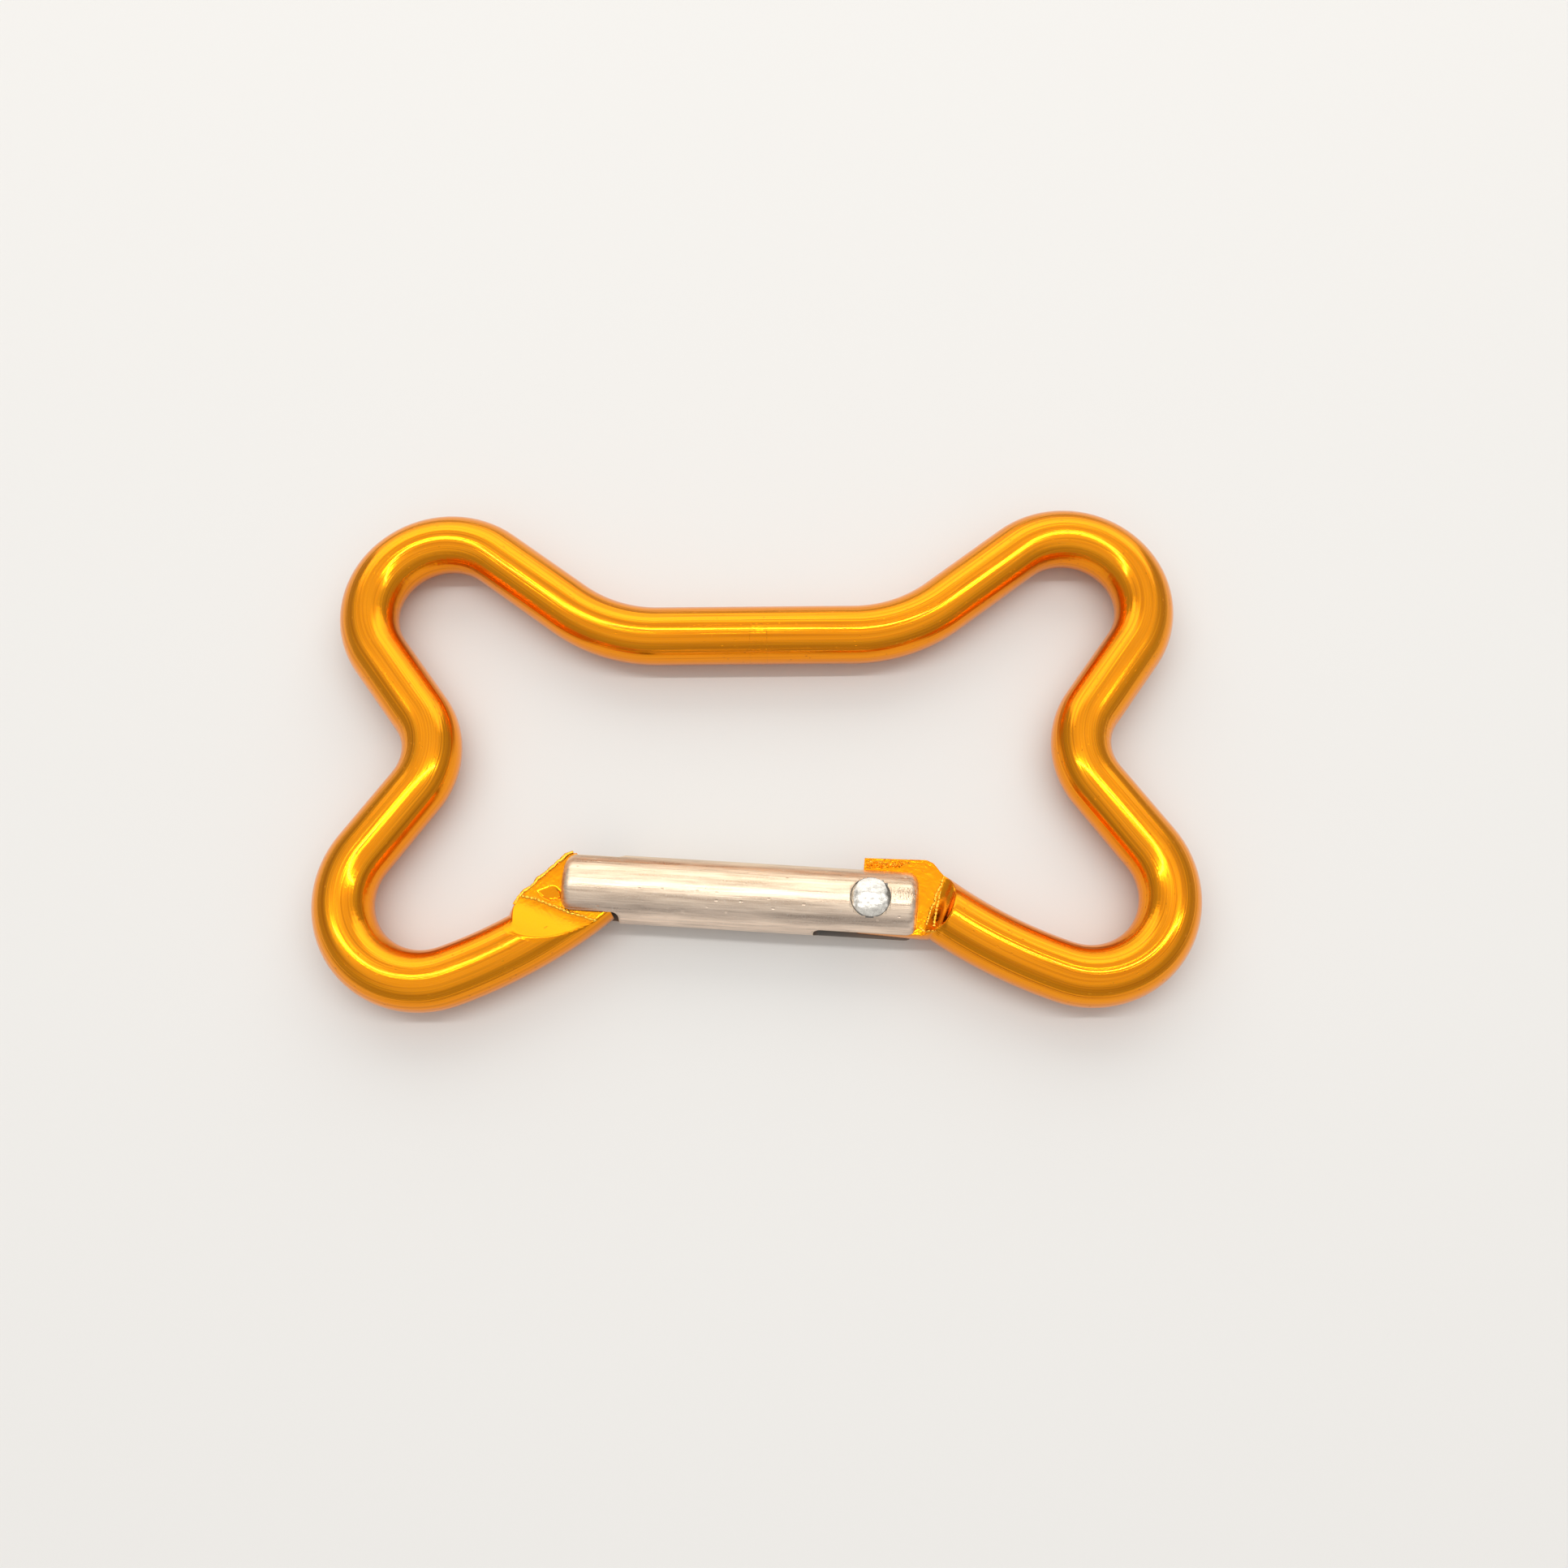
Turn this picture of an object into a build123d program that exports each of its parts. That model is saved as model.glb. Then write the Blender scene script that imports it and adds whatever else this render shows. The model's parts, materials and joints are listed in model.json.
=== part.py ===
from build123d import *
import math
import os

os.makedirs("parts", exist_ok=True)

# A small bone-shaped carabiner lying flat. X runs along the bone, Y across it towards the plain
# side, and Z up. The origin is under the middle of the bone, on the surface that it lies on.

# ---- Driving dimensions, mm and degrees --------------------------------------------------------
ROD_D = 4.5
MID_HEIGHT = 2.6            # height of the plane that the rod's centre line lies in

KNEE = (7.57, 20.98)        # centre of the bend between the straight bar and a sloping arm
KNEE_R = 11.56
LOBE = (24.2, 11.5)         # centre of a corner of the bone
LOBE_R = 6.05
WAIST = (29.8, 0.0)         # centre of the dent in the bone's end
WAIST_R = 5.23
ARM_SLOPE = 20.0            # slope of a lower arm where it leaves its lobe
ARM_R = 35.0                # the lower arms curve gently upwards
TANG_ARM_TURN = 16.5        # how far round that curve each end of the rod reaches
NOSE_ARM_TURN = 19.5

PIVOT = (8.3, -12.1)        # hinge of the gate
GATE_TILT = 4.0             # the free end sits a little further in than the hinge end
GATE_D = 5.0
GATE_HINGE_REACH = 3.45     # from the pivot to the gate's hinge end
GATE_FREE_REACH = 22.35     # from the pivot to the gate's free end
GATE_EDGE_R = 0.8
HINGE_SLOT_WIDTH = 1.7
FREE_SLOT_WIDTH = 2.8
HINGE_SLOT_END = 4.0        # from the pivot to the bottom of the hinge slot
SLOT_CORNER_R = 0.5
FREE_SLOT_START = 18.1      # from the pivot to the bottom of the free end's slot
BORE_D = 2.7
BORE_END = 15.9             # from the pivot to the end of the bore's straight wall
DRILL_POINT = 118.0         # full angle of the cone at the bore's end

TANG_THICKNESS = 1.5        # the rod's hinge end is pressed flat to this
NOSE_THICKNESS = 2.5        # and its free end to this
RIVET_D = 1.8
RIVET_RUNNING_GAP = 0.05
RIVET_HEAD_D = 2.85
RIVET_HEAD_RIM = 0.12       # height of the head's upright rim
RIVET_SEAT_D = 3.05
RIVET_SEAT_HEIGHT = 2.1     # from the middle plane to the seat milled for each rivet head

BEARING_REACH = 2.1         # from the pivot to the flat that the push pin presses on
BEARING_RISE = 2.3          # from the pivot up to the top of that flat
PIN_GAP = 0.16              # from that flat to the push pin's tip
PIN_D = 2.54
PIN_HEAD_LENGTH = 3.2
PIN_TIP_R = 0.25
STEM_D = 1.1
STEM_LENGTH = 5.0
WIRE_D = 0.36
SPRING_D = 2.36
SPRING_TURNS = 11
SPRING_END_GAP = 0.02       # left free at each end of the spring

# ---- Derived sizes -----------------------------------------------------------------------------
ROD_R = ROD_D / 2
MID = Plane.XY.offset(MID_HEIGHT)
BAR_Y = KNEE[1] - KNEE_R

TILT = math.radians(GATE_TILT)
GATE_DIR = Vector(-math.cos(TILT), math.sin(TILT), 0)
GATE_MID = Plane(origin=(PIVOT[0], PIVOT[1], MID_HEIGHT), x_dir=GATE_DIR, z_dir=(0, 0, 1))


def across_gate(reach):
    """The plane square to the gate's axis at a distance from the pivot, facing the free end."""
    return Plane(origin=GATE_MID.origin + GATE_DIR * reach, x_dir=(0, 0, 1), z_dir=GATE_DIR)


def leaving_angle(centre_a, radius_a, centre_b, radius_b, side):
    """Direction from circle a's centre to the point where its crossing tangent to circle b starts."""
    dx = centre_b[0] - centre_a[0]
    dy = centre_b[1] - centre_a[1]
    lean = math.degrees(math.acos((radius_a + radius_b) / math.hypot(dx, dy)))
    return math.degrees(math.atan2(dy, dx)) + side * lean


def on_circle(centre, radius, angle):
    """A point on a circle."""
    turn = math.radians(angle)
    return (centre[0] + radius * math.cos(turn), centre[1] + radius * math.sin(turn))


KNEE_EXIT = leaving_angle(KNEE, KNEE_R, LOBE, LOBE_R, -1)
LOBE_EXIT = leaving_angle(LOBE, LOBE_R, WAIST, WAIST_R, 1)
ARM_START = -90 - ARM_SLOPE
LOWER_LOBE = (LOBE[0], -LOBE[1])
ARM_CENTRE = on_circle(on_circle(LOWER_LOBE, LOBE_R, ARM_START), ARM_R, ARM_START + 180)


def half_of_bone(arm_turn):
    """The right half of the rod's centre line, from the bar's middle to the end of the lower arm."""
    Line((0, BAR_Y), (KNEE[0], BAR_Y))
    knee = CenterArc(KNEE, KNEE_R, -90, KNEE_EXIT + 90)
    lobe = CenterArc(LOBE, LOBE_R, KNEE_EXIT + 180, LOBE_EXIT - KNEE_EXIT - 180)
    waist = CenterArc(WAIST, WAIST_R, LOBE_EXIT + 180, -2 * LOBE_EXIT)
    lower_lobe = CenterArc(LOWER_LOBE, LOBE_R, -LOBE_EXIT, ARM_START + LOBE_EXIT)
    Line(knee @ 1, lobe @ 0)
    Line(lobe @ 1, waist @ 0)
    Line(waist @ 1, lower_lobe @ 0)
    CenterArc(ARM_CENTRE, ARM_R, ARM_START, -arm_turn)


def shoulder_plane(start, end):
    """Square to a shoulder line, with local x pointing off the flat and local y pointing up."""
    along = Vector(end[0] - start[0], end[1] - start[1], 0).normalized()
    return Plane(
        origin=(start[0], start[1], MID_HEIGHT),
        x_dir=Vector(0, 0, 1).cross(along),
        z_dir=along,
    )


def flat_profile(side, half_plate, run, rise, sag, back):
    """Section of one of the two cuts that press a flat, with a hollow shoulder of that run and rise."""
    low = side * half_plate
    high = side * (half_plate + rise)
    ThreePointArc((0, low), (run / 2 + sag, side * (half_plate + rise / 2 - sag)), (run, high))
    Polyline((run, high), (-back, high), (-back, low), (0, low))


# ---- Frame: one bent rod, pressed flat at both ends ---------------------------------------------
# The tang is the end that carries the rivet. Its outline runs from the small lip that stands above
# the gate, along its top, down the side that meets the rod, and back inside the gate's slot to the
# upright flat that the push pin bears on.
BEARING_X = PIVOT[0] - BEARING_REACH
BEARING_TOP = PIVOT[1] + BEARING_RISE
TANG_OUTLINE = (
    (7.9, -8.7),
    (12.85, -8.95),
    (14.55, -11.05),
    (13.2, -14.8),
    (11.9, -14.7),
    (7.4, -14.2),
    (BEARING_X, -13.3),
    (BEARING_X, BEARING_TOP),
    (7.95, BEARING_TOP),
)
TANG_SHOULDER = ((13.85, -9.95), (12.15, -14.05))
TANG_SHOULDER_PROFILE = (1.4, 1.6, 0.15, 5.0)     # run, rise, hollow, and reach back over the flat
TANG_CUT_SPAN = 7.0

# The nose is the tongue at the other end, which the gate's free end closes over.
NOSE_OUTLINE = (
    (-17.9, -12.6),
    (-17.3, -11.4),
    (-13.6, -8.15),
    (-13.25, -8.35),
    (-10.6, -12.8),
    (-13.6, -13.2),
)
NOSE_SHOULDER = ((-11.0, -13.75), (-17.2, -11.35))
NOSE_SHOULDER_PROFILE = (3.1, 1.1, 0.05, 7.0)
NOSE_CUT_SPAN = 9.0

with BuildPart() as frame:
    for arm_turn, heading in ((TANG_ARM_TURN, 1), (NOSE_ARM_TURN, -1)):
        with BuildLine(MID):
            half_of_bone(arm_turn)
            if heading < 0:
                mirror(about=Plane.YZ, mode=Mode.REPLACE)
        with BuildSketch(Plane(origin=(0, BAR_Y, MID_HEIGHT), z_dir=(heading, 0, 0))):
            Circle(ROD_R)
        sweep()

    # Press the flats, each with its sloping shoulder
    for shoulder, thickness, profile, span in (
        (TANG_SHOULDER, TANG_THICKNESS, TANG_SHOULDER_PROFILE, TANG_CUT_SPAN),
        (NOSE_SHOULDER, NOSE_THICKNESS, NOSE_SHOULDER_PROFILE, NOSE_CUT_SPAN),
    ):
        for side in (1, -1):
            with BuildSketch(shoulder_plane(*shoulder)):
                with BuildLine():
                    flat_profile(side, thickness / 2, *profile)
                make_face()
            extrude(amount=span, both=True, mode=Mode.SUBTRACT)

    # The pressed metal spreads out past the rod's round outline
    for outline, thickness in ((TANG_OUTLINE, TANG_THICKNESS), (NOSE_OUTLINE, NOSE_THICKNESS)):
        with BuildSketch(MID):
            with BuildLine():
                Polyline(*outline, close=True)
            make_face()
        extrude(amount=thickness / 2, both=True)

    # Rivet hole through the tang
    with BuildSketch(MID):
        with Locations(PIVOT):
            Circle(RIVET_D / 2 + RIVET_RUNNING_GAP)
    extrude(amount=ROD_D, both=True, mode=Mode.SUBTRACT)

frame.part.label = "frame"
export_step(frame.part, "parts/frame.step")


# ---- Gate: a round bar, slotted at both ends and drilled from its hinge end -----------------------
GATE_SIDE = Plane(origin=GATE_MID.origin, x_dir=GATE_DIR, z_dir=GATE_MID.y_dir)
CUT_PAST_END = 2.0

with BuildPart() as gate:
    with BuildSketch(across_gate(-GATE_HINGE_REACH)):
        Circle(GATE_D / 2)
    extrude(amount=GATE_HINGE_REACH + GATE_FREE_REACH)
    fillet(gate.edges().filter_by(GeomType.CIRCLE), GATE_EDGE_R)

    # Slots for the tang and the nose, open through both sides of the bar
    for slot_start, slot_end, slot_width in (
        (-GATE_HINGE_REACH - CUT_PAST_END, HINGE_SLOT_END, HINGE_SLOT_WIDTH),
        (FREE_SLOT_START, GATE_FREE_REACH + CUT_PAST_END, FREE_SLOT_WIDTH),
    ):
        with BuildSketch(GATE_SIDE):
            with Locations(((slot_start + slot_end) / 2, 0)):
                RectangleRounded(slot_end - slot_start, slot_width, SLOT_CORNER_R)
        extrude(amount=GATE_D, both=True, mode=Mode.SUBTRACT)

    # Blind bore for the spring and the push pin, with the drill's cone at its end
    with BuildSketch(GATE_MID):
        with BuildLine():
            Polyline(
                (-GATE_HINGE_REACH - CUT_PAST_END, 0),
                (BORE_END + BORE_D / 2 / math.tan(math.radians(DRILL_POINT / 2)), 0),
                (BORE_END, BORE_D / 2),
                (-GATE_HINGE_REACH - CUT_PAST_END, BORE_D / 2),
                close=True,
            )
        make_face()
    revolve(axis=Axis(GATE_MID.origin, GATE_DIR), mode=Mode.SUBTRACT)

    # Rivet hole through both cheeks, with a shallow seat milled for each head
    with BuildSketch(GATE_MID):
        Circle(RIVET_D / 2)
    extrude(amount=GATE_D, both=True, mode=Mode.SUBTRACT)
    for side in (1, -1):
        with BuildSketch(GATE_MID.offset(side * RIVET_SEAT_HEIGHT)):
            Circle(RIVET_SEAT_D / 2)
        extrude(amount=side * GATE_D / 2, mode=Mode.SUBTRACT)

gate.part.label = "gate"
export_step(gate.part, "parts/gate.step")


# ---- Rivet: the hinge pin, peened to a low dome at both ends -------------------------------------
HEAD_R = RIVET_HEAD_D / 2
DOME_RISE = MID_HEIGHT - RIVET_SEAT_HEIGHT - RIVET_HEAD_RIM
DOME_R = (HEAD_R**2 + DOME_RISE**2) / (2 * DOME_RISE)
DOME_HALF_ANGLE = math.degrees(math.asin(HEAD_R / DOME_R))

with BuildPart() as rivet:
    with BuildSketch(Plane(origin=GATE_MID.origin, x_dir=(1, 0, 0), z_dir=(0, -1, 0))):
        with BuildLine():
            Polyline(
                (0, 0),
                (RIVET_D / 2, 0),
                (RIVET_D / 2, RIVET_SEAT_HEIGHT),
                (HEAD_R, RIVET_SEAT_HEIGHT),
                (HEAD_R, RIVET_SEAT_HEIGHT + RIVET_HEAD_RIM),
            )
            ThreePointArc(
                (HEAD_R, RIVET_SEAT_HEIGHT + RIVET_HEAD_RIM),
                on_circle((0, MID_HEIGHT - DOME_R), DOME_R, 90 - DOME_HALF_ANGLE / 2),
                (0, MID_HEIGHT),
            )
            Line((0, MID_HEIGHT), (0, 0))
        make_face()
    revolve(axis=Axis(GATE_MID.origin, (0, 0, 1)))
    mirror(about=MID)

rivet.part.label = "rivet"
export_step(rivet.part, "parts/rivet.step")


# ---- Push pin: slides in the bore and presses on the tang, above the pivot -----------------------
PIN_START = BEARING_REACH / math.cos(TILT) + PIN_GAP
PIN_SHOULDER = PIN_START + PIN_HEAD_LENGTH

with BuildPart() as push_pin:
    with BuildSketch(across_gate(PIN_START)):
        Circle(PIN_D / 2)
    extrude(amount=PIN_HEAD_LENGTH)
    fillet(push_pin.edges().filter_by(GeomType.CIRCLE), PIN_TIP_R)
    with BuildSketch(across_gate(PIN_SHOULDER)):
        Circle(STEM_D / 2)
    extrude(amount=STEM_LENGTH)
    fillet(push_pin.faces().sort_by(Axis(GATE_MID.origin, GATE_DIR))[-1].edges(), PIN_TIP_R)

push_pin.part.label = "push_pin"
export_step(push_pin.part, "parts/push_pin.step")


# ---- Spring: a helix of round wire between the pin's shoulder and the end of the bore ------------
SPRING_START = PIN_SHOULDER + SPRING_END_GAP
SPRING_LENGTH = BORE_END - SPRING_END_GAP - SPRING_START
SPRING_FOOT = GATE_MID.origin + GATE_DIR * (SPRING_START + WIRE_D / 2)
COIL_R = (SPRING_D - WIRE_D) / 2
COIL_PITCH = (SPRING_LENGTH - WIRE_D) / SPRING_TURNS

with BuildPart() as spring:
    with BuildLine() as coil:
        Helix(COIL_PITCH, COIL_PITCH * SPRING_TURNS, COIL_R, center=SPRING_FOOT, direction=GATE_DIR)
    with BuildSketch(Plane(origin=coil.line @ 0, z_dir=coil.line % 0)):
        Circle(WIRE_D / 2)
    sweep(is_frenet=True)

spring.part.label = "spring"
export_step(spring.part, "parts/spring.step")
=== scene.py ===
import json
import math

import bmesh
import bpy
import numpy as np
from mathutils import Matrix, Vector


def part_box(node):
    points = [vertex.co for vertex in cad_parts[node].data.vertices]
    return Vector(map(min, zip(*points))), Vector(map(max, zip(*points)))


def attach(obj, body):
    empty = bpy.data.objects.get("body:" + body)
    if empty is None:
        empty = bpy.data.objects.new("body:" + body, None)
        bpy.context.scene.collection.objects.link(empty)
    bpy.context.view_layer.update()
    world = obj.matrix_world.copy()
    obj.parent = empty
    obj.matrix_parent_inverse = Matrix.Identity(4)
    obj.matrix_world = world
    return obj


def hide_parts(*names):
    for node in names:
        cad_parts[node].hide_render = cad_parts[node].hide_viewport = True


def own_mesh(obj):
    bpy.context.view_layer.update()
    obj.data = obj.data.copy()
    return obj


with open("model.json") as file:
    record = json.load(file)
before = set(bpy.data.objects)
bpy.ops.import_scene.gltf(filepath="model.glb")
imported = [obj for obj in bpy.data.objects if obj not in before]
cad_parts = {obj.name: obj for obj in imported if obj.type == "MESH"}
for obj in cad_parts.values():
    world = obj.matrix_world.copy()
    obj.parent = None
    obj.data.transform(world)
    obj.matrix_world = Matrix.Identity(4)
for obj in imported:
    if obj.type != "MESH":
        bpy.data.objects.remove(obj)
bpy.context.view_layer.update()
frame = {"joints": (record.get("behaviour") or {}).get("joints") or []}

# ---- Sizes, in metres ------------------------------------------------------------------------------
MM = 0.001
JOINTS = {joint["name"]: joint for joint in frame["joints"]}
PIVOT = np.array(JOINTS["gate_hinge"]["pos_m"])
GATE_DIR = np.array(JOINTS["pin_slide"]["axis"])
GATE_SIDE = np.cross((0, 0, 1), GATE_DIR)
FRAME_LOW, FRAME_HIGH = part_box("frame")
GATE_LOW, GATE_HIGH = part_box("gate")
ROD_R = (FRAME_HIGH.z - FRAME_LOW.z) / 2
GATE_R = (GATE_HIGH.z - GATE_LOW.z) / 2

# The bone's outline, as the rod's centre line
LOBE_R = 6.05 * MM
LOBE = np.array((FRAME_HIGH.x - ROD_R - LOBE_R, FRAME_HIGH.y - ROD_R - LOBE_R))
KNEE_R = 11.56 * MM
KNEE = np.array((7.57, 20.98)) * MM
WAIST_R = 5.23 * MM
WAIST = np.array((29.8, 0.0)) * MM
ARM_SLOPE = 20.0
ARM_R = 35.0 * MM
ARM_ROUND_TURN = 7.0        # the part of an arm's curve that is still plain round rod

# The two pressed ends: outline, line where the flat begins, and run of the shoulder up to the rod
TANG_HALF = 0.75 * MM       # half the thickness of each flat
NOSE_HALF = 1.25 * MM
TANG_ARM_TURN = 16.5
TANG_BEND_R = 4.5 * MM
TANG_OUTLINE = np.array((
    (7.9, -8.7), (12.55, -8.9), (13.05, -9.15), (14.55, -11.05), (13.2, -14.8), (11.9, -14.7),
    (7.4, -14.2), (6.2, -13.3), (6.2, -9.8), (7.95, -9.8),
)) * MM
TANG_SHOULDER = np.array(((13.85, -9.95), (12.15, -14.05))) * MM
TANG_RUN = 1.45 * MM
TANG_RISE = 1.6 * MM
NOSE_ARM_TURN = 19.5
NOSE_OUTLINE = np.array((
    (-17.9, -12.6), (-17.3, -11.4), (-13.75, -8.15), (-13.2, -8.15), (-10.2, -13.25),
    (-13.0, -17.0), (-19.0, -17.0),
)) * MM
NOSE_SHOULDER = np.array(((-11.0, -13.75), (-17.2, -11.35))) * MM
NOSE_RUN = 3.1 * MM
NOSE_RISE = 1.1 * MM
# Each end's shoulder line, run, rise, hollow and half thickness, and the x that it lies between
PRESSED_ENDS = (
    (TANG_SHOULDER, TANG_RUN, TANG_RISE, 0.6, TANG_HALF, 5 * MM, 16 * MM),
    (NOSE_SHOULDER, NOSE_RUN, NOSE_RISE, 0.5, NOSE_HALF, -19.5 * MM, -9 * MM),
)
FACET = np.array((-15.0, -11.3)) * MM       # a shallow shiny dent in the nose's flat
FACET_SIZE = (1.0 * MM, 0.52 * MM)
FACET_LEAN = 0.4
FACET_SLOPE = (-0.09, 0.23)
FACET_DEPTH = 0.09 * MM
CREASE_PAST = 1.12 * MM                     # the crease between the tang's shoulder and the rod
CREASE_DEPTH = 0.14 * MM
CREASE_WIDTH = 0.22 * MM
CREASE_LEFT, CREASE_RIGHT, CREASE_TOP = 11 * MM, 17 * MM, -9 * MM
PRESSED_TOP = -7.5 * MM                     # both pressed ends lie below this y
FLAT_EDGE_R = 0.015 * MM                    # how gently a flat runs into the round rod
END_RUN = 9 * MM                            # the last of each end, which spreads out to its outline
TANG_CORE = 4.5 * MM                        # the last of the tang, which is its outline alone
SQUARENESS = 0.45                           # how square a spread section's sides are
END_TURN = (3.5 * MM, 0.2 * MM)             # where the sections turn to lie along the cut end
TANG_PRESS = (8 * MM, 4 * MM)               # where the tang's sections turn square
CREASE_FADE = (0.5 * MM, 1.5 * MM)          # heights between which the crease deepens
FLAT_MARGIN = (0.35 * MM, 0.2 * MM)         # how far below a flat its material fades in

# Lines of small burrs that the press and the cutter left, on the flats' upper faces
TANG_BURRS = (
    ((13.78, -10.18), (13.18, -11.58), (12.6, -13.1), (12.28, -13.89)),
    ((13.45, -11.34), (13.24, -11.98), (13.08, -12.78), (12.94, -13.58), (12.84, -14.13)),
    ((11.8, -13.92), (12.15, -14.27), (12.55, -14.37), (12.95, -14.42)),
)
NOSE_BURR = (
    (-17.2, -11.6), (-16.36, -11.75), (-15.56, -11.95), (-14.68, -12.3), (-13.66, -12.75),
    (-12.5, -13.1), (-11.4, -13.45),
)
NOSE_RIM = (
    (-13.3, -8.3), (-13.84, -8.52), (-14.54, -9.15), (-15.23, -9.8), (-16.06, -10.58),
    (-16.74, -11.18), (-17.2, -11.7), (-17.4, -12.3),
)
LIP_PATCH = ((8.05, -8.95), (8.1, -9.55), (10.35, -9.59), (11.35, -9.17), (9.75, -8.99))
BURR_HEIGHT = 0.1 * MM
BURR_WIDTH = 1.7            # half the width of a bead, as a multiple of its height
BURR_STEP = 0.04 * MM
BURR_AROUND = 10
BEADS = 60                  # more beads than the longest line of burrs holds

# The gate, along its axis from the pivot
HINGE_END = -3.45 * MM
FREE_END = 22.35 * MM
GATE_EDGE_R = 0.8 * MM
HINGE_HALF_SLOT = 0.85 * MM
FREE_HALF_SLOT = 1.4 * MM
HINGE_SLOT_END = 4.0 * MM
FREE_SLOT_START = 18.1 * MM
SLOT_CORNER_R = 0.5 * MM
BORE_R = 1.35 * MM
BORE_END = 15.9 * MM
DRILL_CONE = 0.81 * MM
RIVET_R = 0.9 * MM
RIVET_GAP = 0.05 * MM
SEAT_R = 1.465 * MM
SEAT_SHIFT = (-0.045 * MM, -0.03 * MM)      # the seats are milled a little off the pivot
SEAT_HEIGHT = 2.1 * MM
HEAD_R = 1.425 * MM
HEAD_RIM = 0.12 * MM
HEAD_TOP = 2.6 * MM
PIN_START = 2.265 * MM
PIN_R = 1.27 * MM
PIN_SHOULDER = PIN_START + 3.2 * MM
STEM_R = 0.55 * MM
STEM_LENGTH = 5.0 * MM
PIN_TIP_R = 0.25 * MM
PAST_END = 2 * MM           # how far a cutter runs past the gate's end
CUT_REACH = 4 * MM          # and past its sides
HOLE_REACH = 3 * MM         # how far a hole's cutter runs above and below the middle plane
HOLE_AROUND = 48
BORE_AROUND = 64
WIRE_R = 0.18 * MM
COIL_R = 1.0 * MM
COIL_TURNS = 11
COIL_STEPS = 36             # rings of points in each turn
WIRE_AROUND = 12
COIL_START = PIN_SHOULDER + 0.2 * MM
COIL_END = BORE_END - 0.2 * MM

AROUND = 144
SLIVER = 0.004 * MM         # edges shorter than this are merged away before rounding
ROD_STEP = 0.45 * MM
END_STEP = 0.075 * MM


# ---- The rod's centre line -------------------------------------------------------------------------
def direction(degrees):
    turn = math.radians(degrees)
    return np.array((math.cos(turn), math.sin(turn)))


def leaving_angle(centre_a, radius_a, centre_b, radius_b, side):
    """Direction from circle a's centre to the point where its crossing tangent to circle b starts."""
    gap = centre_b - centre_a
    lean = math.acos((radius_a + radius_b) / np.hypot(*gap))
    return math.degrees(math.atan2(gap[1], gap[0]) + side * lean)


class Walk:
    """A path of straight and round stretches: its points, and the heading at each in degrees."""

    def __init__(self, start, heading):
        self.points = [np.array(start, float)]
        self.headings = [float(heading)]

    def straight(self, length, step):
        count = max(1, round(length / step))
        for _ in range(count):
            self.points.append(self.points[-1] + direction(self.headings[-1]) * length / count)
            self.headings.append(self.headings[-1])

    def turn(self, radius, degrees, step):
        """Turns left by degrees, or right if they are negative."""
        side = math.copysign(1, degrees)
        first = self.headings[-1]
        centre = self.points[-1] + direction(first + 90 * side) * radius
        count = max(1, round(abs(math.radians(degrees)) * radius / step))
        for i in range(1, count + 1):
            heading = first + degrees * i / count
            self.points.append(centre - direction(heading + 90 * side) * radius)
            self.headings.append(heading)


def half_of_bone(arm_turn):
    """The right half of the centre line, from the bar's middle to the end of the lower arm."""
    knee_exit = leaving_angle(KNEE, KNEE_R, LOBE, LOBE_R, -1)
    lobe_exit = leaving_angle(LOBE, LOBE_R, WAIST, WAIST_R, 1)
    knee_gap = math.sqrt(np.sum((LOBE - KNEE) ** 2) - (KNEE_R + LOBE_R) ** 2)
    waist_gap = math.sqrt(np.sum((WAIST - LOBE) ** 2) - (LOBE_R + WAIST_R) ** 2)
    walk = Walk((0, KNEE[1] - KNEE_R), 0)
    walk.straight(KNEE[0], ROD_STEP)
    walk.turn(KNEE_R, knee_exit + 90, ROD_STEP)
    walk.straight(knee_gap, ROD_STEP)
    walk.turn(LOBE_R, lobe_exit - knee_exit - 180, ROD_STEP)
    walk.straight(waist_gap, ROD_STEP)
    walk.turn(WAIST_R, -2 * lobe_exit, ROD_STEP)
    walk.straight(waist_gap, ROD_STEP)
    walk.turn(LOBE_R, -(90 + ARM_SLOPE) + lobe_exit, ROD_STEP)
    walk.turn(ARM_R, -ARM_ROUND_TURN, ROD_STEP)
    walk.turn(ARM_R, ARM_ROUND_TURN - arm_turn, END_STEP)
    return walk


def tang_half():
    """The right half, carried on through the tang to the flat that the push pin bears on."""
    walk = half_of_bone(TANG_ARM_TURN)
    along_gate = math.degrees(math.atan2(GATE_DIR[1], GATE_DIR[0]))
    walk.turn(TANG_BEND_R, along_gate - walk.headings[-1] % 360, END_STEP)
    walk.straight((walk.points[-1][0] - TANG_OUTLINE[:, 0].min()) / -GATE_DIR[0], END_STEP)
    return walk


def nose_half():
    """The left half, mirrored from the right, carried on to the nose's cut end."""
    walk = half_of_bone(NOSE_ARM_TURN)
    walk.points = [point * (-1, 1) for point in walk.points]
    walk.headings = [180 - heading for heading in walk.headings]
    gap = reach_to_outline(walk.points[-1], direction(walk.headings[-1]), NOSE_OUTLINE)
    walk.straight(gap, END_STEP)
    return walk


# ---- Cross sections --------------------------------------------------------------------------------
def smooth(low, high, x):
    t = np.clip((x - low) / (high - low), 0, 1)
    return t * t * (3 - 2 * t)


def reach_to_outline(point, way, outline):
    """How far it is from a point to an outline along a unit direction; 0 if the point is outside."""
    hits = []
    for a, b in zip(outline, np.roll(outline, -1, axis=0)):
        edge = b - a
        cross = way[0] * edge[1] - way[1] * edge[0]
        if abs(cross) > 1e-12:
            gap = a - point
            t = (gap[0] * edge[1] - gap[1] * edge[0]) / cross
            k = (gap[0] * way[1] - gap[1] * way[0]) / cross
            if t > 0 and 0 <= k < 1:
                hits.append(t)
    return min(hits) if len(hits) % 2 else 0.0


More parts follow.
